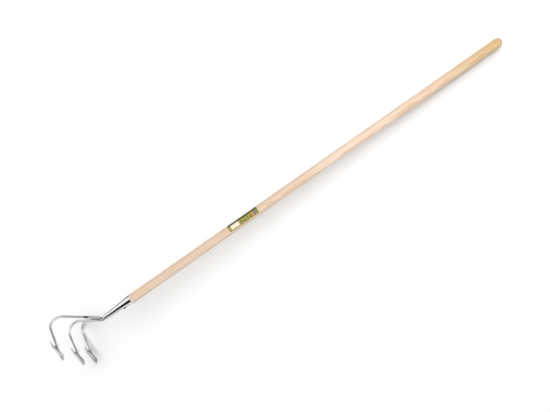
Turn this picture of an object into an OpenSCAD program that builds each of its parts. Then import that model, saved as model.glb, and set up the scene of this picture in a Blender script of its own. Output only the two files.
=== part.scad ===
// Long handled cultivator claw: three bent steel tines with arrow shares, welded to a conical
// socket on a long ash shaft. It lies on its side on a level floor, as it was photographed.
// Every piece is drawn in the tool's own axes first: X runs back along the handle from the
// socket nose, Z points away from the share points, Y runs across the three tines.
// lay_down() then sets the finished tool on the floor. Lengths are in millimetres.

/* [Handle] */
// Diameter of the ash shaft
handle_d = 28; // [27:0.5:32]
// Whole length of the shaft, with its tenon
handle_len = 1402; // [1000:1:1700]
// Clear length in the socket between the middle tine's end and the tapered tenon
tenon_room = 6; // [3:1:12]
// Height of the domed free end
dome_h = 9; // [5:0.5:12]

/* [Label] */
// Length of the paper label along the shaft
label_len = 103; // [60:1:160]
// Distance from the socket mouth to the label
label_from = 358; // [200:1:500]
// Angle of the label around the shaft
label_wrap = 210; // [120:1:300]
// Angle of the label's long edge, from the right side towards the top
label_turn = 26; // [0:1:60]
// Thickness of the label paper
label_t = 0.12; // [0.08:0.01:0.15]
// Thickness of the glue film under the label
glue_t = 0.06; // [0.05:0.01:0.1]

/* [Socket] */
// Length of the cone from nose to mouth
socket_len = 104; // [90:1:130]
// Outer diameter of the nose
nose_d = 12; // [11.5:0.1:13]
// Sheet thickness at the mouth
socket_wall = 1.5; // [1:0.1:2]

/* [Screw] */
// Distance from the socket mouth to the fixing screw
screw_from = 30; // [20:1:40]
// Diameter of the screw shank
screw_d = 3.5; // [3:0.1:4]
// Length of the screw under its head
screw_len = 12; // [9:0.5:13]
// Length of the screw point
screw_point = 3; // [2:0.5:4]
// Diameter of the screw head
screw_head_d = 7.5; // [6.5:0.1:8.5]
// Height of the screw head
screw_head_h = 2.6; // [2.2:0.1:3]
// Width of the cross recess
recess_w = 1.1; // [0.8:0.1:1.4]
// Length of the cross recess
recess_len = 4.2; // [3.4:0.1:4.6]
// Depth of the cross recess
recess_h = 1.3; // [1:0.1:1.6]

/* [Tines] */
// Diameter of the tine rods
rod_d = 7; // [6.5:0.1:7.4]
// Length of the middle tine inside the socket
shank_in = 36; // [20:1:38]
// Straight length of the middle tine in front of the nose
neck_lead = 2.5; // [2.3:0.1:4]
// Bend radius at the neck, to the rod's middle
neck_r = 17; // [14:0.5:24]
// Angle by which the tines rise from the handle line
arm_rise = 32; // [25:0.5:40]
// Straight length of the middle tine before its hook
centre_arm = 73; // [55:1:90]
// Straight length of each outer tine before its hook
outer_arm = 103; // [80:1:120]
// Bend radius of the hooks, to the rod's middle
hook_r = 27.5; // [24:0.5:36]
// Angle through which the middle hook turns
centre_turn = 127; // [115:1:135]
// Angle through which each outer hook turns
outer_turn = 121; // [110:1:130]
// Length from the end of the hook to the share point
leg_len = 105; // [96:1:115]
// Swelling of the rod's radius in its bends
bend_swell = 0.03; // [0.02:0.01:0.05]
// Length by which straight rod runs on into a bend
bend_lap = 0.3; // [0.2:0.05:0.5]
// Sideways angle of the outer tines
fan = 25.5; // [20:0.5:30]
// Roll of the outer hooks about their own rods
hook_roll = 17; // [10:0.5:24]
// Start of the outer tines behind the end of the neck bend
outer_back = 4; // [2:0.1:5]
// Sideways distance from the middle tine to each outer one at its start
outer_off = 6; // [5.5:0.1:7]
// Height of the outer tines over the middle one
outer_up = 7; // [6:0.1:7.5]

/* [Shares] */
// Length from the barb points to the share point
share_len = 59; // [55:1:64]
// Width across the barbs
barb_w = 36; // [30:1:42]
// Width of the blunt share point
point_w = 2.4; // [1.5:0.1:4]
// Width at the shoulders
shoulder_w = 14; // [12:0.5:17]
// Distance of the shoulders from the point
shoulder_at = 14; // [11:0.5:17]
// Width at the waist
waist_w = 13; // [11:0.5:15]
// Distance of the waist from the point
waist_at = 44; // [40:0.5:47]
// Distance of the notch from the point
notch_at = 50.5; // [48:0.5:53]
// Width of the bottom of the notches, rod included
notch_w = 9; // [8.5:0.1:10]
// Thickness of the share plate
share_t = 3; // [2:0.1:4]
// Angle by which each wing folds back
fold = 34; // [26:1:38]
// Angle by which the share point leans back towards the handle
share_pitch = 16; // [10:0.5:18]
// Distance of the rod's end from the share point
rod_stop = 38; // [36:0.5:40]

/* [Welds] */
// Length of the weld round the nose
nose_weld_len = 2.2; // [1.5:0.1:2.3]
// Radius of the weld beads behind the shares
bead_r = 2.2; // [1.8:0.1:2.6]
// Radius of the weld beads at the neck
neck_bead_r = 3.6; // [3.2:0.1:4]
// Length of the weld beads at the neck
neck_bead_len = 15; // [12:0.5:18]

/* [Fit] */
// Gap between pieces that are not welded face to face
gap = 0.3; // [0.2:0.05:0.35]

/* [Hidden] */
$fn = 96;
over = socket_wall;
handle_r = handle_d / 2;
rod_r = rod_d / 2;
nose_bore = rod_d + 2 * gap;
mouth_bore = handle_d - 2 * socket_wall;
tenon_from = shank_in + tenon_room;
tenon_len = socket_len - tenon_from;
shaft_len = handle_len - tenon_len;
dome_r = (handle_r * handle_r + dome_h * dome_h) / (2 * dome_h);
head_r = screw_head_d / 2;
head_ball_r = (head_r * head_r + screw_head_h * screw_head_h) / (2 * screw_head_h);
screw_x = socket_len - screw_from;
cone_lean = atan((handle_d - nose_d) / 2 / socket_len);
// Share section: the inner fold line lies in front of the rod, which rests between the wings
fold_in = (rod_r + gap) / cos(fold);
fold_out = fold_in + share_t / cos(fold);
fold_half = barb_w / 2 + over;
// Barb points: the outer corner and the corner on the notch side
barb_end_share = 0.16;
barb_in_x = share_len - (share_len - notch_at) * barb_end_share;
barb_in_w = barb_w - (barb_w - notch_w) * barb_end_share;
share_half = [[0, point_w / 2], [shoulder_at, shoulder_w / 2], [waist_at, waist_w / 2],
              [share_len, barb_w / 2], [barb_in_x, barb_in_w / 2], [notch_at, notch_w / 2]];
share_left = [for (p = share_half) [leg_len - p[0], p[1]]];
share_right = [for (i = [len(share_half) - 1 : -1 : 0]) [leg_len - share_half[i][0], -share_half[i][1]]];
share_outline = concat(share_left, share_right);
share_ridge = [[leg_len, 0], [leg_len - notch_at, 0]];
share_reach = fold_out + fold_half;
// Bead middle behind each wing: half its radius into the rod and into the plate
bead_deep = rod_r + gap - bead_r / 2;
bead_far = rod_r + bead_r / 2;
bead_side = sqrt(bead_far * bead_far - bead_deep * bead_deep);
bead_y = bead_deep * sin(fold) + bead_side * cos(fold);
bead_z = bead_deep * cos(fold) - bead_side * sin(fold);
bead_len = notch_at - rod_stop;
bead_end_share = 0.55;

// Points in a hook's own frame carried to the tool's axes, as the modules below carry solids
function about_x(p, a) = [p[0], p[1] * cos(a) - p[2] * sin(a), p[1] * sin(a) + p[2] * cos(a)];
function about_y(p, a) = [p[0] * cos(a) + p[2] * sin(a), p[1], p[2] * cos(a) - p[0] * sin(a)];
function about_z(p, a) = [p[0] * cos(a) - p[1] * sin(a), p[0] * sin(a) + p[1] * cos(a), p[2]];
function arm_to_tool(p) = about_z([neck_lead, 0, neck_r] + about_y(p - [0, 0, neck_r], -arm_rise), 180);
function outer_to_arm(p, side) =
    [-outer_back, side * outer_off, outer_up] + about_z(about_x(p, side * hook_roll), side * fan);
function leg_to_hook(p, arm, turn) = [arm, 0, -hook_r] + about_y(p + [0, 0, hook_r], turn);
function hook_point(arm, a) = [arm + hook_r * sin(a), 0, hook_r * cos(a) - hook_r];
function outer_hook(side) =
    [for (a = [0 : outer_turn / 40 : outer_turn]) arm_to_tool(outer_to_arm(hook_point(outer_arm, a), side))];
function pitch_point(p) = [leg_len - rod_stop, 0, fold_in] +
    about_y([p[0] - leg_len + rod_stop, p[1], p[2] - fold_in], share_pitch);
function share_corners(y_z) =
    [for (p = concat(share_outline, share_ridge), z = y_z)
        pitch_point([p[0], p[1], z - abs(p[1]) * tan(fold)])];
function outer_leg(p, side) = arm_to_tool(outer_to_arm(leg_to_hook(p, outer_arm, outer_turn), side));
function outer_dir(p) = outer_leg(p, 1) - outer_leg([0, 0, 0], 1);
// Turn of the outer shares about their legs, so that all three face straight ahead
share_twist = atan2(-outer_dir([0, 0, 1])[1], -outer_dir([0, 1, 0])[1]);
function outer_corners(side) = [for (p = share_corners([fold_in, fold_out]))
    outer_leg(about_x(p, side * share_twist), side)];
centre_corners = [for (p = share_corners([fold_in, fold_out]))
    arm_to_tool(leg_to_hook(p, centre_arm, centre_turn))];

// The floor touches the far rim of the shaft, the hook and a barb of the right tine
rim = [socket_len + shaft_len - dome_h, 0, 0];
function lowest(points, up) = points[search(min([for (p = points) p * up]), [for (p = points) p * up])[0]];
function floor_up(hook, barb) =
    let (a = rim - hook, b = rim - barb, m = cross(a, b), ra = handle_r - rod_r, rb = handle_r,
         flat = (ra * cross(b, m) + rb * cross(m, a)) / (m * m),
         rest = sqrt((1 - flat * flat) / (m * m)))
    m[1] < 0 ? flat + rest * m : flat - rest * m;
function settle(up, turns) = turns == 0 ? up :
    settle(floor_up(lowest(outer_hook(-1), up), lowest(outer_corners(-1), up)), turns - 1);
up = settle([0, -1, 0], 4);
along_raw = [1, 0, 0] - up[0] * up;
along = along_raw / norm(along_raw);
across = cross(up, along);
floor_h = rim * up - handle_r;
// Middle of the laid-down tool, from its outermost points
corners = concat(outer_corners(1), outer_corners(-1), centre_corners);
hooks = concat(outer_hook(1), outer_hook(-1));
ends_x = concat([for (p = corners) p * along], [for (p = hooks) p * along - rod_r],
                [rim * along + dome_h * along[0]]);
ends_y = concat([for (p = corners) p * across], [for (p = hooks, s = [-1, 1]) p * across + s * rod_r]);
mid_x = (min(ends_x) + max(ends_x)) / 2;
mid_y = (min(ends_y) + max(ends_y)) / 2;

// Sets the finished tool down on its right side, with the middle of its floor plan at the origin
module lay_down() {
    multmatrix([[along[0], along[1], along[2], -mid_x],
                [across[0], across[1], across[2], -mid_y],
                [up[0], up[1], up[2], -floor_h],
                [0, 0, 0, 1]])
        children();
}

// A straight rod along X that runs a little way into the bends before and behind it
module rod(length, lap_before, lap_after) {
    translate([-lap_before, 0, 0])
        rotate([0, 90, 0])
            cylinder(h = lap_before + length + lap_after, d = rod_d);
}

// A bend that starts along X and turns towards -Z
module rod_bend(radius, turn) {
    translate([0, 0, -radius])
        rotate([-90, -90, 0])
            rotate_extrude(angle = turn)
                translate([radius, 0])
                    circle(d = rod_d + 2 * bend_swell);
}

// The frame at the end of such a bend
module after_bend(radius, turn) {
    translate([0, 0, -radius])
        rotate([0, turn, 0])
            translate([0, 0, radius])
                children();
}

// The frame in front of the nose, with X forwards
module neck_frame() {
    rotate([0, 0, 180])
        translate([neck_lead, 0, 0])
            rotate([180, 0, 0])
                children();
}

// The frame where the middle tine's straight arm begins, X along it and Z away from the points
module arm_frame() {
    neck_frame()
        after_bend(neck_r, arm_rise)
            rotate([180, 0, 0])
                children();
}

// The frame where an outer tine begins
module outer_frame(side) {
    arm_frame()
        translate([-outer_back, side * outer_off, outer_up])
            rotate([0, 0, side * fan])
                rotate([side * hook_roll, 0, 0])
                    children();
}

// The frame of the straight leg behind a hook
module leg_frame(arm, turn) {
    translate([arm, 0, 0])
        after_bend(hook_r, turn)
            children();
}

// The frame of an outer share, turned to face straight ahead
module outer_share_frame(side) {
    outer_frame(side)
        leg_frame(outer_arm, outer_turn)
            rotate([side * share_twist, 0, 0])
                children();
}

// A straight arm, a hook and a leg that ends behind the share
module hooked_rod(arm, turn, lap_before) {
    rod(arm, lap_before, bend_lap);
    translate([arm, 0, 0])
        rod_bend(hook_r, turn);
    leg_frame(arm, turn)
        rod(leg_len - rod_stop, bend_lap, 0);
}

// The middle rod: from inside the socket round the neck bend, then its own hook and leg
module centre_rod() {
    neck_frame()
        translate([-shank_in - neck_lead, 0, 0])
            rod(shank_in + neck_lead, 0, bend_lap);
    neck_frame()
        rod_bend(neck_r, arm_rise);
    arm_frame()
        hooked_rod(centre_arm, centre_turn, bend_lap);
}

// The frame of a share or its beads, leaning about the rod's end in the fold
module pitch_frame(pitch) {
    translate([leg_len - rod_stop, 0, fold_in])
        rotate([0, pitch, 0])
            translate([rod_stop - leg_len, 0, -fold_in])
                children();
}

// An arrow share: an outline cut from a plate folded along its middle
module share_blade() {
    pitch_frame(share_pitch)
        folded_plate();
}

module folded_plate() {
    intersection() {
        translate([0, 0, -share_reach])
            linear_extrude(height = 2 * share_reach)
                polygon(share_outline);
        rotate([90, 0, 90])
            linear_extrude(height = leg_len + over)
                polygon([[0, fold_in],
                         [fold_half, fold_in - fold_half * tan(fold)],
                         [fold_half, fold_out - fold_half * tan(fold)],
                         [0, fold_out],
                         [-fold_half, fold_out - fold_half * tan(fold)],
                         [-fold_half, fold_in - fold_half * tan(fold)]]);
    }
}

// A weld bead along X with sloping ends
module bead(radius, length) {
    rotate([0, 90, 0])
        rotate_extrude()
            polygon([[0, 0], [radius * bead_end_share, 0], [radius, radius * bead_end_share],
                     [radius, length - radius * bead_end_share], [radius * bead_end_share, length],
                     [0, length]]);
}

// Two beads that hold the rod in the fold of a share
module share_beads() {
    difference() {
        pitch_frame(share_pitch / 2)
            for (side = [-1, 1])
                translate([leg_len - notch_at, side * bead_y, bead_z])
                    bead(bead_r, bead_len);
        rod(leg_len - rod_stop, 0, 0);
        share_blade();
    }
}

// One bead between the middle tine and an outer one
module neck_bead(side) {
    difference() {
        arm_frame()
            translate([-outer_back, side * outer_off / 2, outer_up / 2])
                rotate([0, 0, side * fan / 2])
                    bead(neck_bead_r, neck_bead_len);
        centre_rod();
        outer_frame(side)
            rod(outer_arm, 0, 0);
    }
}

// The frame of the fixing screw, Z out of the cone on the side of the points
module screw_frame() {
    translate([screw_x, 0, -nose_d / 2 - screw_x * tan(cone_lean)])
        rotate([180, 0, 0])
            rotate([0, -cone_lean, 0])
                children();
}

module handle_shaft() {
    color("burlywood")
        lay_down()
            difference() {
                rotate([0, 90, 0]) {
                    translate([0, 0, tenon_from])
                        cylinder(h = tenon_len, d1 = tenon_d(tenon_from), d2 = tenon_d(socket_len));
                    translate([0, 0, socket_len])
                        cylinder(h = shaft_len - dome_h, d = handle_d);
                    intersection() {
                        translate([0, 0, socket_len + shaft_len - dome_r])
                            sphere(r = dome_r);
                        translate([0, 0, socket_len + shaft_len - dome_h])
                            cylinder(h = dome_h + over, d = handle_d + over);
                    }
                }
                screw_frame()
                    translate([0, 0, -screw_len])
                        cylinder(h = screw_len + over, d = screw_d + 2 * gap);
            }
}

function bore_d(x) = nose_bore + (mouth_bore - nose_bore) * x / socket_len;
function tenon_d(x) = bore_d(x) - 2 * gap;

module handle_label() {
    color("olivedrab")
        lay_down()
            translate([socket_len + label_from, 0, 0])
                rotate([label_turn, 0, 0])
                    rotate([90, 0, 90])
                        rotate_extrude(angle = label_wrap)
                            translate([handle_r + glue_t, 0])
                                square([label_t, label_len]);
}

module socket() {
    color("silver")
        lay_down()
            difference() {
                rotate([0, 90, 0])
                    rotate_extrude()
                        polygon([[nose_bore / 2, 0], [nose_d / 2, 0], [handle_r, socket_len],
                                 [mouth_bore / 2, socket_len]]);
                screw_frame()
                    translate([0, 0, -screw_len])
                        cylinder(h = screw_len + over, d = screw_d + 2 * gap);
            }
}

module socket_screw() {
    color("gray")
        lay_down()
            screw_frame()
                difference() {
                    union() {
                        intersection() {
                            translate([0, 0, screw_head_h - head_ball_r])
                                sphere(r = head_ball_r);
                            cylinder(h = screw_head_h + over, d = screw_head_d + over);
                        }
                        translate([0, 0, screw_point - screw_len])
                            cylinder(h = screw_len - screw_point, d = screw_d);
                        translate([0, 0, -screw_len])
                            cylinder(h = screw_point, d1 = 0, d2 = screw_d);
                    }
                    for (a = [0, 90])
                        rotate([0, 0, a])
                            translate([-recess_len / 2, -recess_w / 2, screw_head_h - recess_h])
                                cube([recess_len, recess_w, recess_h + over]);
                }
}

module left_tine() {
    color("silver")
        lay_down()
            outer_frame(1)
                hooked_rod(outer_arm, outer_turn, 0);
}

module centre_tine() {
    color("silver")
        lay_down()
            centre_rod();
}

module right_tine() {
    color("silver")
        lay_down()
            outer_frame(-1)
                hooked_rod(outer_arm, outer_turn, 0);
}

module left_share() {
    color("darkgray")
        lay_down()
            outer_share_frame(1)
                share_blade();
}

module centre_share() {
    color("darkgray")
        lay_down()
            arm_frame()
                leg_frame(centre_arm, centre_turn)
                    share_blade();
}

module right_share() {
    color("darkgray")
        lay_down()
            outer_share_frame(-1)
                share_blade();
}

module nose_weld() {
    color("gray")
        lay_down()
            rotate([0, -90, 0])
                rotate_extrude()
                    polygon([[rod_r, 0], [nose_d / 2, 0], [rod_r + gap, nose_weld_len],
                             [rod_r, nose_weld_len]]);
}

module left_neck_weld() {
    color("gray")
        lay_down()
            neck_bead(1);
}

module right_neck_weld() {
    color("gray")
        lay_down()
            neck_bead(-1);
}

module left_share_weld() {
    color("gray")
        lay_down()
            outer_share_frame(1)
                share_beads();
}

module centre_share_weld() {
    color("gray")
        lay_down()
            arm_frame()
                leg_frame(centre_arm, centre_turn)
                    share_beads();
}

module right_share_weld() {
    color("gray")
        lay_down()
            outer_share_frame(-1)
                share_beads();
}

handle_shaft();
handle_label();
socket();
socket_screw();
left_tine();
centre_tine();
right_tine();
left_share();
centre_share();
right_share();
nose_weld();
left_neck_weld();
right_neck_weld();
left_share_weld();
centre_share_weld();
right_share_weld();
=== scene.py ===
# %% [markdown]
# # A long handled cultivator claw
# Three bent steel tines carry folded arrow shares. They are welded to a conical steel socket,
# and the socket is screwed to a long ash shaft with a paper label. The tool lies on its side on
# a white floor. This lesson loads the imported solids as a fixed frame, sets up the photograph's
# camera and light, and then dresses each solid with a finer piece and a procedural finish.

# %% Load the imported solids
import math

import bpy
from mathutils import Matrix, Quaternion, Vector


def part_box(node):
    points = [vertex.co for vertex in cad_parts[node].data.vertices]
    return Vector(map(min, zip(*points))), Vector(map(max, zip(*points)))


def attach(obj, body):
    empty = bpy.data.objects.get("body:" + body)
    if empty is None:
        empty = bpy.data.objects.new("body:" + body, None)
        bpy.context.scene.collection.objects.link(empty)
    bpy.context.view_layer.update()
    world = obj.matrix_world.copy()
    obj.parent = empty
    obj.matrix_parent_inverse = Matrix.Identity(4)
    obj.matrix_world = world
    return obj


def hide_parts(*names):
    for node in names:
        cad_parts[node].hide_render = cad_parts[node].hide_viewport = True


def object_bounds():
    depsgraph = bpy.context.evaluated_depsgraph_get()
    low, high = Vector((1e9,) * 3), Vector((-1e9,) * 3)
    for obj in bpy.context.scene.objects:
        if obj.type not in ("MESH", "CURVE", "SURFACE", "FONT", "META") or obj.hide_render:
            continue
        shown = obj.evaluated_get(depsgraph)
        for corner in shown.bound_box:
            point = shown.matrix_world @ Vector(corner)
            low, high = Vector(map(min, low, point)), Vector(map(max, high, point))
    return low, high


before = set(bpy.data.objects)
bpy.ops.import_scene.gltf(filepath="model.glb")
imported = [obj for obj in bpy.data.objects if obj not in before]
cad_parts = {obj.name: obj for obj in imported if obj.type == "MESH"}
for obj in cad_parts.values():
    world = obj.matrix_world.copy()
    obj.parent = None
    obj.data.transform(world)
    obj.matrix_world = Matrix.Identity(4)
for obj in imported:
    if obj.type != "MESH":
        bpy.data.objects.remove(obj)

scene = bpy.context.scene
scene.view_settings.view_transform = "Standard"
cad_box = [list(corner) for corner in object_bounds()]
print("solids:", len(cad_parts), "box in metres:", cad_box)

# %% [markdown]
# Every piece is easiest to draw in the tool's own axes, in millimetres: X runs back along the
# handle from the socket's nose, Z points away from the share points, and Y runs across the
# tines. The bends, the fan of the tines and the turn of the shares are a chain of frames, in the
# same order as in the solids.

# %% The tool's own axes


def shift(x, y, z):
    return Matrix.Translation((x, y, z))


def turn(degrees, axis):
    return Matrix.Rotation(math.radians(degrees), 4, axis)


def after_bend(radius, degrees):
    """The frame at the end of a bend that starts along X and turns towards -Z."""
    return shift(0, 0, -radius) @ turn(degrees, "Y") @ shift(0, 0, radius)


SOCKET_LEN, SHAFT_R = 104.0, 14.0
SHAFT_END, DOME_H = 1444.0, 9.0
ROD_R = 3.5
NECK_LEAD, NECK_R, ARM_RISE = 2.5, 17.0, 32.0
CENTRE_ARM, OUTER_ARM = 73.0, 103.0
CENTRE_TURN, OUTER_TURN = 127.0, 121.0
HOOK_R, LEG, ROD_STOP = 27.5, 105.0, 38.0
FAN, HOOK_ROLL = 25.5, 17.0
OUTER_START = (-4.0, 6.0, 7.0)

NECK_FRAME = turn(180, "Z") @ shift(NECK_LEAD, 0, 0) @ turn(180, "X")
ARM_FRAME = NECK_FRAME @ after_bend(NECK_R, ARM_RISE) @ turn(180, "X")


def outer_frame(side):
    """Where an outer tine begins: side is 1 for the left tine and -1 for the right."""
    start = shift(OUTER_START[0], side * OUTER_START[1], OUTER_START[2])
    return ARM_FRAME @ start @ turn(side * FAN, "Z") @ turn(side * HOOK_ROLL, "X")


def leg_frame(arm, degrees):
    return shift(arm, 0, 0) @ after_bend(HOOK_R, degrees)


left_leg = outer_frame(1) @ leg_frame(OUTER_ARM, OUTER_TURN)
SHARE_TWIST = math.degrees(math.atan2(-left_leg.col[2][1], -left_leg.col[1][1]))
SHARE_FRAMES = {
    "left": left_leg @ turn(SHARE_TWIST, "X"),
    "centre": ARM_FRAME @ leg_frame(CENTRE_ARM, CENTRE_TURN),
    "right": outer_frame(-1) @ leg_frame(OUTER_ARM, OUTER_TURN) @ turn(-SHARE_TWIST, "X"),
}
print("outer shares turn about their legs by", round(SHARE_TWIST, 2), "degrees")

# %% [markdown]
# The tool lies on three points: the rim of the shaft's free end, the right hook and a barb of
# the right share. The floor's direction follows from these, a few rounds settle which points are
# the lowest, and the boxes of the solids say where the tool's own origin lies.

# %% How the tool lies on the floor
FOLD, PLATE, PITCH = math.radians(34), 3.0, 16.0
SHARE_LEN, BARB_HALF = 59.0, 18.0
ROD_GAP = 0.3
FOLD_IN = (ROD_R + ROD_GAP) / math.cos(FOLD)
FOLD_OUT = FOLD_IN + PLATE / math.cos(FOLD)
RIM = Vector((SHAFT_END - DOME_H, 0, 0))


def lean(degrees):
    """The frame of a share that leans back about the rod's end in its fold."""
    pivot = shift(LEG - ROD_STOP, 0, FOLD_IN)
    return pivot @ turn(degrees, "Y") @ pivot.inverted()


def share_point(from_tip, half, rise):
    return Vector((LEG - from_tip, half, rise - abs(half) * math.tan(FOLD)))


def floor_up(hook, barb):
    """Up, for a floor that touches the shaft's rim, the rod round hook and the point barb."""
    a, b = RIM - hook, RIM - barb
    m = a.cross(b)
    flat = ((SHAFT_R - ROD_R) * b.cross(m) + SHAFT_R * m.cross(a)) / m.length_squared
    rest = math.sqrt((1 - flat.length_squared) / m.length_squared)
    return flat + m * (rest if m.y < 0 else -rest)


HOOK_STEPS, SETTLING_ROUNDS = 40, 4
right_hook = [(outer_frame(-1) @ leg_frame(OUTER_ARM, OUTER_TURN * i / HOOK_STEPS)).translation
              for i in range(HOOK_STEPS + 1)]
right_barbs = [SHARE_FRAMES["right"] @ lean(PITCH) @ share_point(SHARE_LEN, half, rise)
               for half in (BARB_HALF, -BARB_HALF) for rise in (FOLD_IN, FOLD_OUT)]
up = Vector((0, -1, 0))
for _ in range(SETTLING_ROUNDS):
    up = floor_up(min(right_hook, key=up.dot), min(right_barbs, key=up.dot))
along = (Vector((1, 0, 0)) - up.x * up).normalized()
across = up.cross(along)
shaft_low, shaft_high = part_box("handle_shaft")
LAID = Matrix((
    (*along, 1000 * cad_box[1][0] - SHAFT_END * along.x),
    (*across, 500 * (shaft_low[1] + shaft_high[1])),
    (*up, SHAFT_R - RIM.dot(up)),
    (0, 0, 0, 1),
))
TO_ROW = Matrix.Scale(0.001, 4) @ LAID
print("the socket's nose lies at", [round(v, 4) for v in TO_ROW.translation])

# %% [markdown]
# The photograph was taken from close above with a wide lens. Its focal length, 428 pixels for a
# frame 550 pixels wide, its place, the floor point at the middle of the picture and its roll
# come from a fit to the tines, the socket and the shaft.

# %% The photograph's camera
FOCAL_PIXELS, FRAME_PIXELS = 428, 550
camera_data = bpy.data.cameras.new("photo_camera")
camera_data.sensor_width = 36.0
camera_data.lens = camera_data.sensor_width * FOCAL_PIXELS / FRAME_PIXELS
camera_data.clip_start, camera_data.clip_end = 0.05, 60.0
camera = bpy.data.objects.new("photo_camera", camera_data)
scene.collection.objects.link(camera)
camera.location = (0.0160, -0.2626, 1.2952)
aim = Vector((-0.0464, -0.0011, 0.0))
roll = Quaternion((0, 0, 1), math.radians(-48.63))
camera.rotation_mode = "QUATERNION"
camera.rotation_quaternion = (aim - camera.location).to_track_quat("-Z", "Y") @ roll
scene.camera = camera
print("camera lens", round(camera_data.lens, 2), "mm, height", round(camera.location.z, 3), "m")

# %% [markdown]
# All the finishes below are node trees. Three small helpers keep them readable: one turns an sRGB
# hex colour into the linear numbers that shaders use, one fills the inputs of a node, and one adds
# a node with its settings. A value that is an output socket is linked, and anything else is set.

# %% Helpers for colours and nodes


def linear(hex_colour):
    channels = [int(hex_colour[i:i + 2], 16) / 255 for i in (1, 3, 5)]
    return [c / 12.92 if c <= 0.04045 else ((c + 0.055) / 1.055) ** 2.4 for c in channels] + [1.0]


def plug(tree, node, inputs):
    for key, value in inputs.items():
        if isinstance(value, bpy.types.NodeSocket):
            tree.links.new(value, node.inputs[key])
        else:
            node.inputs[key].default_value = value


def add(tree, kind, inputs=None, **settings):
    node = tree.nodes.new(kind)
    for key, value in settings.items():
        setattr(node, key, value)
    plug(tree, node, inputs or {})
    return node


def new_surface(name):
    """A material with one Principled shader: returns the material, its tree and the shader."""
    material = bpy.data.materials.new(name)
    material.use_nodes = True
    tree = material.node_tree
    return material, tree, tree.nodes["Principled BSDF"]


print("white is", [round(c, 3) for c in linear("#FFFFFF")])

# %% [markdown]
# The studio is plain: a white floor, white walls and soft lamps. The floor is lit just up to white,
# so it shows the tool's soft shadow. A floor that only glowed would hide it, so its own glow is
# slight. Light Path makes floor and walls white for the camera and a little darker in the steel,
# as they would be in a room.

# %% White floor
OWN_GLOW, FLOOR_HALF = 0.02, 9.0
FLOOR_SEEN, FLOOR_IN_STEEL = 1.0, 0.6
floor_white, tree, shader = new_surface("matt_white_floor")
tree.nodes.remove(shader)
path = add(tree, "ShaderNodeLightPath")
camera_ray, glossy_ray = path.outputs["Is Camera Ray"], path.outputs["Is Glossy Ray"]
diffuse = add(tree, "ShaderNodeBsdfDiffuse", {"Color": linear("#F3F4F4")})
level = add(tree, "ShaderNodeMath", {0: camera_ray, 1: FLOOR_SEEN - FLOOR_IN_STEEL, 2: FLOOR_IN_STEEL},
            operation="MULTIPLY_ADD")
glow = add(tree, "ShaderNodeEmission", {"Color": linear("#FFFFFF"), "Strength": level.outputs[0]})
seen = add(tree, "ShaderNodeMath", {0: camera_ray, 1: glossy_ray}, operation="MAXIMUM")
own_white = add(tree, "ShaderNodeMath", {0: seen.outputs[0], 1: OWN_GLOW}, operation="MULTIPLY")
mix = add(tree, "ShaderNodeMixShader", {0: own_white.outputs[0], 1: diffuse.outputs[0], 2: glow.outputs[0]})
tree.links.new(mix.outputs[0], tree.nodes["Material Output"].inputs["Surface"])


def card_object(name, verts, faces, material):
    mesh = bpy.data.meshes.new(name)
    mesh.from_pydata(verts, [], faces)
    mesh.materials.append(material)
    card = bpy.data.objects.new(name, mesh)
    scene.collection.objects.link(card)
    return card


corners = [(FLOOR_HALF * x, FLOOR_HALF * y, 0) for x, y in ((-1, -1), (1, -1), (1, 1), (-1, 1))]
floor = card_object("floor", corners, [(0, 1, 2, 3)], floor_white)
print("floor of", len(floor.data.polygons), "face")

# %% [markdown]
# In the photograph the shadow falls as from a wide lamp beyond the top of the picture, while the
# shaft is lit from straight above. One lamp can't do both, so floor and tool have soft lamps of
# their own. Light linking keeps them apart: a group holds the floor, and a lamp is told to light
# only that group, or all but that group. Suns with a wide angle serve as softboxes, because they
# are even all along the tool.

# %% Soft lamps for floor and tool, and white walls


def light_group(name, state):
    """A light linking group that holds the floor, as the one thing lit or as the one left out."""
    group = bpy.data.collections.new(name)
    group.objects.link(floor)
    group.collection_objects[0].light_linking.link_state = state
    return group


def soft_light(name, from_direction, spread, strength, lit):
    """Light from a patch of sky: its direction, its width in degrees, and the group that it lights."""
    light_data = bpy.data.lights.new(name, "SUN")
    light_data.angle = math.radians(spread)
    light_data.energy = strength
    light = bpy.data.objects.new(name, light_data)
    light.rotation_mode = "QUATERNION"
    light.rotation_quaternion = Vector(from_direction).to_track_quat("Z", "Y")
    light.visible_glossy = False
    light.light_linking.receiver_collection = lit
    scene.collection.objects.link(light)


floor_alone = light_group("floor_alone", "INCLUDE")
all_but_floor = light_group("all_but_floor", "EXCLUDE")
soft_light("floor_softbox", (0.229, 0.317, 0.92), spread=82, strength=2.62, lit=floor_alone)
soft_light("floor_fill_softbox", (0.0, -0.5, 0.866), spread=40, strength=0.38, lit=floor_alone)
soft_light("tool_softbox", (0.1, -0.06, 0.99), spread=50, strength=2.0, lit=all_but_floor)
soft_light("camera_side_softbox", (0.0, -0.215, 0.977), spread=18, strength=0.45, lit=all_but_floor)
# A faint strip over the far half of the shaft, which is the palest part of the photograph's wood
strip_data = bpy.data.lights.new("shaft_strip_light", "AREA")
strip_data.shape, strip_data.size, strip_data.size_y = "RECTANGLE", 0.8, 0.25
strip_data.energy = 1.1
strip = bpy.data.objects.new("shaft_strip_light", strip_data)
strip.location = (0.5, 0.1, 1.3)
scene.collection.objects.link(strip)

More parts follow.
